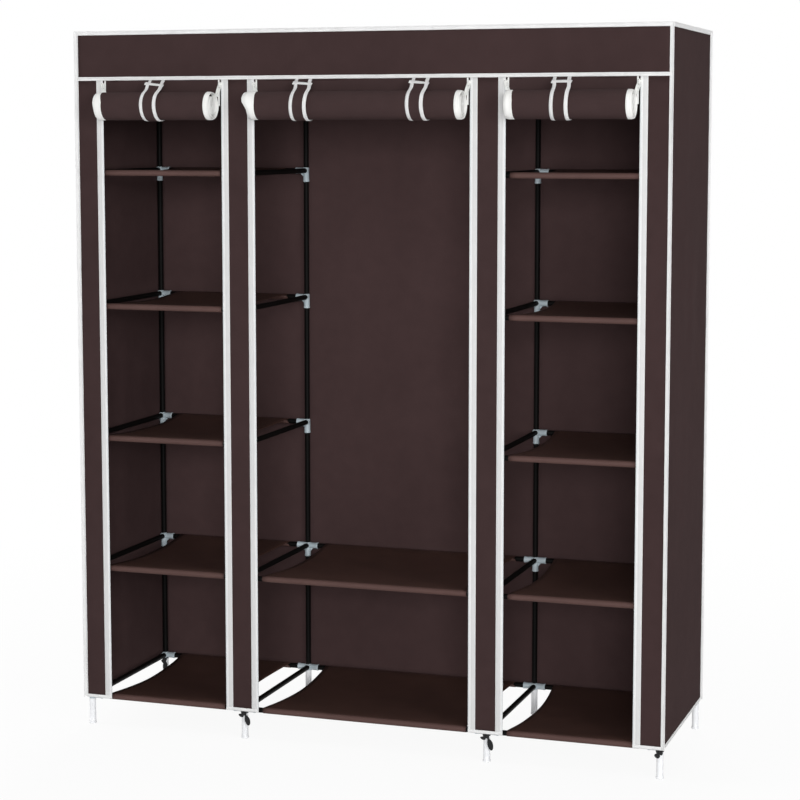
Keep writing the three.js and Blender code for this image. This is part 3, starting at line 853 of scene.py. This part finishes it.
CURTAIN_COLUMNS = {"left": 22, "center": 36, "right": 22}
CURTAIN_ROWS, CURTAIN_EDGE = 44, 0.004
# The curtain's gap under the header's seam, and how far it stands out and swells
CURTAIN_GAP, CURTAIN_PROUD, CURTAIN_SWELL = 0.0003, 0.0001, 0.0005
ROLL_COLUMNS = {"left": 20, "center": 34, "right": 20}
ROLL_SEEDS = {"left": 1.3, "center": 4.1, "right": 7.7}
# How far a strap pinches the roll, and over which stretch, and the roll's lumps with their limit
PINCH, PINCH_REACH, LUMP, LUMP_LIMIT = 0.0011, 0.03, 0.0007, 0.0003
# At the roll's ends: the uneven slip of the turns, how far the inner turns stand out at the left
# end and in at the right one, how far the tape's edge turns in, and the bend of the right seam
TURN_SLIP, LEFT_OUT, RIGHT_OUT, EDGE_IN, RIGHT_BEND = 0.0006, 0.0065, -0.003, 0.0018, 0.008
# Where the inner turns begin, the stretch beside the tape over which its bends fade, and the
# depth, in front of the cover, behind which the turns keep clear of the zip tapes
INNER_FROM, BEND_FADE, CLEAR_Y, CLEAR_EASE = 0.009, 0.05, -0.250, 0.004
# The gap between the slack outer turn and the tight ones inside it, and how far these lie back
ROLL_SLACK, ROLL_BEHIND = 0.0088, 0.0042


def door_shares(width, body_columns, edge):
    """Shares across a door: three steps over each edge tape and even ones over the cloth"""
    tape = edge / width
    shares = [0, tape / 3, 2 * tape / 3]
    shares += [tape + (1 - 2 * tape) * k / body_columns for k in range(body_columns + 1)]
    return shares + [1 - 2 * tape / 3, 1 - tape / 3, 1]


def curtain(column):
    a, b = DOORS[column][0] + CURTAIN_IN, DOORS[column][1] - CURTAIN_IN
    width = b - a
    shares = door_shares(width, CURTAIN_COLUMNS[column], CURTAIN_EDGE)
    count = len(shares) - 1
    top, low = HEADER_Z - CURTAIN_GAP, ROLL_Z

    def place(share, up):
        s = shares[round(share * count)]
        x, z = a + s * width, low + up * (top - low)
        swell = CURTAIN_SWELL * ripple(x, 2, z, 0.05) * hump(up) if up > 0.02 else 0
        return Vector((x, -WALL_Y - CURTAIN_PROUD + swell, z)), z, min(s, 1 - s) * width

    bm = facing(sheet_mesh(count, CURTAIN_ROWS, place, 3), (0, -1, 0))
    node = f"door_curtain_{column}"
    obj = piece(f"{node}_cloth", bm, [door_cloth, door_tape], body=None,
                stands_for=[node], sharp=60, wall=DOOR_CLOTH)
    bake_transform(obj)


def wound(turns):
    """The radius of the wound cloth after some turns inwards, and how far the tight turns inside
    the slack outer one lie towards the back"""
    loose = ease((turns - 0.9) / 0.8)
    return ROLL_OUTER - ROLL_PITCH * turns - ROLL_SLACK * loose, ROLL_BEHIND * loose


# How far the left end's tape reaches past the door's edge, and how far its seam bends above
LEFT_ENDS = {"left": (0.004, 0.008), "center": (0.014, 0.003), "right": (-0.006, 0.004)}


def strap_places(column):
    a, b = DOORS[column]
    return [a + share * (b - a) for share, _, _ in STRAPS[column]]


def roll(column):
    a, b = DOORS[column][0] + ROLL_IN, DOORS[column][1] - ROLL_IN
    width = b - a
    shares = door_shares(width, ROLL_COLUMNS[column], DOOR_TAPE)
    count = len(shares) - 1
    straps = strap_places(column)
    seed = ROLL_SEEDS[column]
    past, seam_bend = LEFT_ENDS[column]

    def place(share, turn_share):
        s = shares[round(share * count)]
        turns = turn_share * ROLL_TURNS
        angle = -math.tau * turns
        cos, sin = math.cos(angle), math.sin(angle)
        x = a + s * width
        radius, behind = wound(turns)
        pinch = sum(PINCH * math.exp(-((x - m) / PINCH_REACH) ** 2) for m in straps)
        lump = LUMP * ripple(x * 1.2, cos * 0.05 + seed, sin * 0.05, 0.06)
        outer = ease(1 - turns / 2)
        radius += (min(lump, LUMP_LIMIT) - pinch) * (0.35 + 0.65 * outer)
        inner = ease((ROLL_R - radius - INNER_FROM) / INNER_FROM)
        end = 2 * s - 1
        reach = max(0, abs(end) * width / 2 - (width / 2 - DOOR_TAPE)) / DOOR_TAPE
        slip = TURN_SLIP * (ripple(turns * 0.7 + seed, end * 3, 0, 0.5) - 1)
        raised = ease((radius * sin + 0.013) / 0.030)
        clear = raised * (1 - ease((ROLL_Y + behind + radius * cos - CLEAR_Y) / CLEAR_EASE))
        outward = -1 if end < 0 else 1
        x += outward * reach * ((LEFT_OUT * clear if end < 0 else RIGHT_OUT) * inner + slip)
        radius -= EDGE_IN * ease((reach - 0.72) / 0.28)
        near = min(s, 1 - s) * width
        fade = 1 - ease((near - DOOR_TAPE) / BEND_FADE)
        bend = ease(near / DOOR_TAPE) if near < DOOR_TAPE else fade
        if turns < 1:
            high = clear * ease((sin - 0.2) / 0.8)
            x += bend * (RIGHT_BEND if end > 0 else -seam_bend * high)
        if end < 0:
            x -= past * (clear * max(0, 1 - near / DOOR_TAPE) if past > 0 else fade)
        back = ease((cos - 0.8) / 0.2) * ease(1 - turns / 0.25)
        y = ROLL_Y + behind + radius * cos + back * (ROLL_OUTER - radius)
        z = ROLL_Z + radius * sin
        return Vector((x, y, z)), turn_share * DOOR_CUT, near

    bm = sheet_mesh(count, round(ROLL_TURNS * TURN_STEPS), place, 3)
    face_out(bm)
    node = f"door_roll_{column}"
    obj = piece(f"{node}_cloth", bm, [door_cloth, door_tape], body=f"door_{column}",
                stands_for=[node], sharp=60, wall=DOOR_CLOTH, offset=0)
    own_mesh(obj)


for column in DOORS:
    curtain(column)
    roll(column)


# Straps round the rolled doors, each with a short tab above that its bound end closes on

def between(start, end, steps):
    """Points at even steps from start to end, without these two"""
    (y0, z0), (y1, z1) = start, end
    return [(y0 + (y1 - y0) * k / steps, z0 + (z1 - z0) * k / steps) for k in range(1, steps)]


def strap_path():
    """The strap's line in depth and height: down from the header, round the roll, up behind it"""
    radius = ROLL_R + 0.0009
    seam = (-WALL_Y - 0.0009, HEADER_Z - 0.0015)
    depth, rise = seam[0] - ROLL_Y, seam[1] - ROLL_Z
    tangent = math.atan2(rise, depth) + math.acos(radius / math.hypot(rise, depth))
    leave = math.radians(300)
    turned = [tangent + (leave - tangent) * k / 40 for k in range(41)]
    arc = [(ROLL_Y + radius * math.cos(t), ROLL_Z + radius * math.sin(t)) for t in turned]
    back = -WALL_Y + CLOTH + 0.0009
    low = (back, arc[-1][1] - (back - arc[-1][0]) * math.cos(leave) / math.sin(leave))
    end = (back, HEADER_Z - 0.0005)
    return [(seam[0], HEADER_Z - 0.0003), seam, *between(seam, arc[0], 8), *arc,
            *between(arc[-1], low, 5), low, *between(low, end, 10), end]


STRAP_PATH = strap_path()
STRAP_ALONG = run_lengths(STRAP_PATH)


def on_strap(along):
    """A point of the strap's line, and the way out of the roll there"""
    i = max(k for k in range(len(STRAP_ALONG) - 1) if STRAP_ALONG[k] <= along or k == 0)
    share = min((along - STRAP_ALONG[i]) / (STRAP_ALONG[i + 1] - STRAP_ALONG[i]), 1)
    (y0, z0), (y1, z1) = STRAP_PATH[i], STRAP_PATH[i + 1]
    run = Vector((0, y1 - y0, z1 - z0)).normalized()
    return Vector((0, y0 + share * (y1 - y0), z0 + share * (z1 - z0))), Vector((0, run.z, -run.y))


# The strap's columns as shares of its width, the place of its bound end and the tab's length
STRAP_SHARES = [0, 0.09, 0.198, 0.3, 0.43, 0.57, 0.7, 0.802, 0.91, 1]
STRAP_END, TAB = 0.021, 0.030
# How far the strap lies above the tab, is crowned and sways, and its thickness
STRAP_LIFT, STRAP_CROWN, STRAP_SWAY, STRAP_CLOTH = 0.0014, 0.0005, 0.0009, 0.0011
# The bound end: its section in millimetres, how far it reaches past the strap and lies above it
END_SECTION = [(-6, -0.9), (-6, 0.9), (-5, 1.3), (0, 1.5), (5, 1.3), (6, 0.9), (6, -0.9)]
END_REACH, END_LIFT = 0.0022, 0.0016


def strap(node, column, middle, tilt, skew):
    """The strap, from its bound end over the tab, round the roll and up behind the door"""
    total = STRAP_ALONG[-1]
    count = len(STRAP_SHARES) - 1

    def strip(rows, start, stop, lift=0):
        def place(share, down):
            s = STRAP_SHARES[round(share * count)]
            along = start + down * (stop - start)
            point, out = on_strap(along)
            raised = lift * ease(1 - (along - TAB) / 0.014)
            rounding = STRAP_CROWN * (1 - abs(2 * s - 1) ** 6)
            x = middle + (s - 0.5) * STRAP_W + skew * ease(1 - along / 0.05)
            x += STRAP_SWAY * math.sin(along * 40 + middle * 9)
            z = tilt * (s - 0.5) * STRAP_W * ease(1 - (along - start) / 0.03) if lift else 0
            return point + out * (raised + rounding) + Vector((x, 0, z)), along, s * STRAP_W
        return sheet_mesh(count, rows, place, 2)

    bm = strip(90, STRAP_END, total, STRAP_LIFT)
    add(bm, strip(14, 0, TAB))
    face_out(bm)
    obj = piece(f"{node}_band", bm, [door_cloth, strap_tape], stands_for=[node],
                sharp=60, wall=STRAP_CLOTH, offset=0)
    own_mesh(obj)
    point, out = on_strap(STRAP_END + 0.003)
    half = STRAP_W / 2 + END_REACH
    foot = point + out * END_LIFT
    left, right = (foot + Vector((middle + skew * 0.62 + side * half, 0, side * tilt * half))
                   for side in (-1, 1))
    bar = closed_run(END_SECTION, left, right, Vector((0, out.z, -out.y)), out, 0.004, 0.0004)
    end = piece(f"{node}_end", bar, [hem_tape], sharp=50)
    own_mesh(end)


for column, looks in STRAPS.items():
    for i, middle in enumerate(strap_places(column)):
        node = f"strap_{column}" + (f"_{i + 1}" if len(looks) > 1 else "")
        strap(node, column, middle, *looks[i][1:])


# Zip sliders and pulls

SLIDER_BACK, SLIDER_Z = -WALL_Y - 0.0011, 1.616
SLIDER_HALF, SLIDER_WIDE, SLIDER_THICK = 0.007, 0.0045, 0.0026
BRIDGE_Y = SLIDER_BACK - 0.0036
# The bridge: its feet and its bar, each as width, depth and height, and where they stand
FOOT_SIZE, FOOT_OUT, FOOT_UP = (0.0022, 0.0042, 0.0014), 0.0015, 0.00408
BAR_SIZE, BAR_OUT, BRIDGE_ROUND = (0.0022, 0.0011, 0.0096), 0.0041, 0.0004
# The slider's four black dots, painted shade for the gaps between its body and bridge: their
# section in millimetres and their places
SHADE_DOT = [(0, 0), (0.75, 0), (0.75, 0.35), (0, 0.35)]
SHADE_DOT_SIDE, SHADE_DOT_UP, SHADE_DOT_OUT = 0.0024, 0.0052, 0.0028
PULL_Y = SLIDER_BACK - 0.0054
# The edges of the pull's columns, and of its rows from its lower end to its upper one
PULL_HALF, PULL_CORNER = 0.005, 0.003
PULL_ACROSS = [-PULL_HALF, -0.0032, 0.0032, PULL_HALF]
PULL_UP = [-0.0290, -0.0265, -0.0225, -0.0180, -0.0130, -0.0095, -0.0070, -0.0008, 0.0008]
PULL_THICK = 0.0018
# The window and the dish: half a width within which their faces lie, and their ends
WINDOW, DISH = (0.0012, -0.0070, -0.0008), (0.0019, -1, -0.0095)
DISH_IN, DISH_DEPTH, PULL_EDGE = 0.0008, -0.0004, 0.0003


def slider(number, x):
    """A shield-shaped slider with a bridge for its pull and four black dots of painted shade for
    the gaps under the bridge
    """
    body = bmesh.new()
    bmesh.ops.create_grid(body, x_segments=4, y_segments=6, size=1)
    for vert in body.verts:
        s, t = vert.co.x, vert.co.y
        wide = SLIDER_WIDE - 0.0011 * max(0, -t) ** 1.5 - 0.0006 * max(0, t - 0.6)
        vert.co = Vector((x + s * wide, SLIDER_BACK, SLIDER_Z + t * SLIDER_HALF))
    for vert in extrude(body, body.faces[:]):
        up = (vert.co.z - SLIDER_Z) / SLIDER_HALF
        crown = 0.0009 * max(0, 1 - abs(up) * 1.2)
        crown += 0.0003 * (1 - abs(vert.co.x - x) / SLIDER_WIDE)
        vert.co.y -= SLIDER_THICK + crown
    face_out(body)
    round_edges(body, sharp_edges(body, 0.9), 0.0005, 2)
    bm = bmesh.new()
    add(bm, body)
    for z in (-FOOT_UP, FOOT_UP):
        block(bm, (x, BRIDGE_Y - FOOT_OUT, SLIDER_Z + z), FOOT_SIZE, BRIDGE_ROUND)
    block(bm, (x, BRIDGE_Y - BAR_OUT, SLIDER_Z), BAR_SIZE, BRIDGE_ROUND)
    # Black discs on the slider's face: painted shade where the gaps under the bridge would show
    for side in (-SHADE_DOT_SIDE, SHADE_DOT_SIDE):
        for z in (-SHADE_DOT_UP, SHADE_DOT_UP):
            place = (x + side, SLIDER_BACK - SHADE_DOT_OUT, SLIDER_Z + z)
            lathe(bm, SHADE_DOT, place, (0, -1, 0), 10, index=1)
    piece(f"slider_{number}_body", bm, [zip_paint, tube_coat],
          body=f"slider_{number}", stands_for=[f"zip_slider_{number}"], sharp=34)


def pull(number, x, lean):
    """A flat tab with a window for the slider's bridge, a thumb dish and a rounded end"""
    bm = bmesh.new()
    columns, rows = len(PULL_ACROSS) - 1, len(PULL_UP) - 1
    bmesh.ops.create_grid(bm, x_segments=columns, y_segments=rows, size=1)
    for vert in bm.verts:
        i, j = round((vert.co.x + 1) / 2 * columns), round((vert.co.y + 1) / 2 * rows)
        taper = 1 - 0.10 * ease((PULL_UP[j] + 0.012) / 0.012)
        vert.co = Vector((PULL_ACROSS[i] * taper, 0, PULL_UP[j]))

    def faces_within(half, low, high):
        middles = [(face, face.calc_center_median()) for face in bm.faces]
        return [face for face, middle in middles if abs(middle.x) < half and low < middle.z < high]

    bmesh.ops.delete(bm, geom=faces_within(*WINDOW), context="FACES")
    move(bm, (0, -PULL_THICK, 0), extrude(bm, bm.faces[:]))
    move(bm, (0, PULL_THICK / 2, 0))
    face_out(bm)
    corners = [e for e in bm.edges if abs(e.verts[0].co.y - e.verts[1].co.y) > 0.001
               and abs(abs(e.verts[0].co.x) - PULL_HALF) < 0.0006 and e.verts[0].co.z < -0.0288]
    round_edges(bm, corners, PULL_CORNER, 4)
    dish = [face for face in faces_within(*DISH) if face.normal.y < -0.9]
    bmesh.ops.inset_region(bm, faces=dish, thickness=DISH_IN, depth=DISH_DEPTH,
                           use_even_offset=True)
    round_edges(bm, sharp_edges(bm, 1.2), PULL_EDGE, 1)
    turn = Matrix.Translation((x, PULL_Y, SLIDER_Z)) @ Matrix.Rotation(lean, 4, "Y")
    bmesh.ops.transform(bm, matrix=turn, verts=bm.verts)
    piece(f"pull_{number}_tab", bm, [pull_paint], body=f"pull_{number}",
          stands_for=[f"zip_pull_{number}"], sharp=34)


for i, edge in enumerate(DOOR_EDGES):
    inward, lean = (-0.001, 0.3) if i % 2 else (0.001, -0.34)
    slider(i + 1, edge + inward)
    pull(i + 1, edge + inward, lean)


# Black ribbon ties that hold the hem and the bottom shelf to four of the legs

def ribbon(bm, points, widths, across):
    """A ribbon along points, with their widths and directions across. Gives its length."""
    count = len(points) - 1
    lengths = [0]
    for p, q in zip(points, points[1:]):
        lengths.append(lengths[-1] + (q - p).length)

    def place(share, down):
        i = round(down * count)
        side = Vector(across[i]).normalized() * (share - 0.5) * widths[i]
        return points[i] + side, lengths[i], share * widths[i]

    part = sheet_mesh(2, count, place)
    face_out(part)
    bmesh.ops.solidify(part, geom=part.faces[:], thickness=TIE_CLOTH)
    face_out(part)
    add(bm, part)
    return lengths[-1]


LOOP_STEPS, TAIL_STEPS, LOOP_R, LOOP_WIDTH, LOOP_TILT = 28, 12, 0.0096, 0.0085, 0.0030
TIE_Z, TIE_WIDTH, TIE_CLOTH = 0.0650, 0.010, 0.0006
# The knot: its size, its place from the leg's middle, its rounding, and the cloth in it
KNOT_SIZE, KNOT_PLACE = (0.0100, 0.0052, 0.0080), (0.0040, -0.0118, -0.0012)
KNOT_ROUND, KNOT_CLOTH = 0.0022, 0.024
# A tail's start from the leg's middle, and its width at the knot, its leaf's width and its tip's
TAIL_X, TAIL_Y, TAIL_Z = 0.003, -0.0125, 0.001
TAIL_WIDTH, LEAF_WIDTH, TIP_WIDTH = 0.0042, 0.0095, 0.0040


def tie(row, place_name, tails):
    """A ribbon round the top of a leg, knotted in front, with its tails as side, drop and reach"""
    bm = bmesh.new()
    centre = Vector((LADDERS[place_name], -POST_Y if row == "front" else POST_Y, TIE_Z))
    loop, widths, across = [], [], []
    for k in range(LOOP_STEPS + 1):
        angle = math.tau * k / LOOP_STEPS + math.pi / 2
        c, s = math.cos(angle), math.sin(angle)
        loop.append(centre + Vector((LOOP_R * c, LOOP_R * s, LOOP_TILT * math.cos(angle + 0.5))))
        widths.append(LOOP_WIDTH + 0.001 * math.sin(3 * angle))
        across.append((0.25 * c, 0.25 * s, 1))
    length = ribbon(bm, loop, widths, across)
    block(bm, centre + Vector(KNOT_PLACE), KNOT_SIZE, KNOT_ROUND, 3, Matrix.Rotation(0.5, 3, "Y"))
    for side, drop, reach in tails:
        line, widths, across = [], [], []
        for k in range(TAIL_STEPS + 1):
            share = k / TAIL_STEPS
            x = TAIL_X + side * reach * share ** 0.7
            y = TAIL_Y - 0.002 * math.sin(share * 3)
            line.append(centre + Vector((x, y, TAIL_Z - drop * share * (0.6 + 0.4 * share))))
            leaf = math.sin(math.pi * 0.86 * max(0, share - 0.25) / 0.75)
            widths.append(TAIL_WIDTH + LEAF_WIDTH * leaf if share < 0.99 else TIP_WIDTH)
            across.append((0.9, 0.25 * math.sin(share * 4), 0.35 * side))
        length += ribbon(bm, line, widths, across)
    obj = piece(f"tie_{row}_{place_name}", bm, [tie_ribbon], sharp=50)


tie("front", "divider_left", [(1, 0.030, 0.013), (-1, 0.010, 0.010)])
tie("front", "divider_right", [(1, 0.034, 0.013), (-1, 0.009, 0.011)])
tie("front", "right", [(-1, 0.014, 0.009)])
tie("rear", "left", [(1, 0.036, 0.002), (-1, 0.014, 0.004)])


# Floor, light and camera

def stage_floor():
    """A white floor that glows for the eye, more so further away, and takes shadows faintly"""
    bm = bmesh.new()
    bmesh.ops.create_grid(bm, x_segments=1, y_segments=1, size=14)
    mesh = bpy.data.meshes.new("floor")
    bm.to_mesh(mesh)
    bm.free()
    f = Finish("floor_white")
    f.surface(Base_Color=(0.86, 0.86, 0.86), Roughness=0.9, Specular_IOR_Level=0.1)
    glow = f.node("ShaderNodeEmission", {}, {"Color": (1.0, 1.0, 1.0), "Strength": 1.0})
    far = f.node("ShaderNodeVectorMath", {"operation": "LENGTH"}, {0: f.place()}, "Value")
    away = ((far - 1.3) / 1.5).clip()
    lit = Term(f, f.shader.outputs[0])
    share = f.seen() * (0.93 + away * 0.07)
    mixed = f.node("ShaderNodeMixShader", {}, {0: share, 1: lit, 2: glow})
    f.feed(f.tree.nodes["Material Output"].inputs["Surface"], mixed)
    mesh.materials.append(f.material)
    link("floor", mesh)


def lamp(name, place, target, size, watts):
    data = bpy.data.lights.new(name, "AREA")
    data.shape = "RECTANGLE"
    data.size, data.size_y = size
    data.energy = watts
    obj = link(name, data)
    obj.location = place
    obj.rotation_euler = (Vector(target) - Vector(place)).to_track_quat("-Z", "Y").to_euler()


def stage_world():
    """White for the eye, and a soft light for the object"""
    world = bpy.data.worlds.new("studio")
    world.use_nodes = True
    bpy.context.scene.world = world
    g = Graph(world.node_tree)
    g.tree.nodes.clear()
    white = (1.0, 1.0, 1.0)
    soft = g.node("ShaderNodeBackground", {}, {"Color": white, "Strength": 0.22})
    plain = g.node("ShaderNodeBackground", {}, {"Color": white, "Strength": 1.0})
    mixed = g.node("ShaderNodeMixShader", {}, {0: g.seen(), 1: soft, 2: plain})
    g.feed(g.tree.nodes.new("ShaderNodeOutputWorld").inputs["Surface"], mixed)


stage_floor()
stage_world()
MIDDLE = (0, 0, 0.9)
lamp("front softbox", (2.8, -8.6, 2.0), MIDDLE, (3.2, 2.4), 415)
lamp("front right softbox", (4.6, -4.4, 2.3), MIDDLE, (2.4, 2.2), 135)
lamp("right softbox", (4.0, 0.2, 2.2), MIDDLE, (1.8, 2.2), 12)
lamp("left softbox", (-3.9, -0.6, 2.2), MIDDLE, (1.8, 2.2), 66)
lamp("rear softbox", (-0.9, 6.4, 2.3), MIDDLE, (3.0, 2.4), 280)
lamp("top softbox", (0, 0, 4.6), (0, 0, 0), (3.0, 2.0), 26)

# The photo's camera: the picture's width and the focal length in pixels, the sensor in mm
PICTURE, FOCAL, SENSOR = 800, 2110.368, 36
camera_data = bpy.data.cameras.new("camera")
camera_data.sensor_width = SENSOR
camera_data.lens = FOCAL * SENSOR / PICTURE
camera_data.shift_y = -0.05
camera_data.clip_end = 60
camera = link("camera", camera_data)
camera.location = (1.69575, -4.96634 + SHIFT, 1.49906)
camera.rotation_euler = (math.pi / 2 - 0.10678, 0, 0.32545)
bpy.context.scene.camera = camera
bpy.context.scene.view_settings.view_transform = "Standard"

bpy.context.view_layer.update()
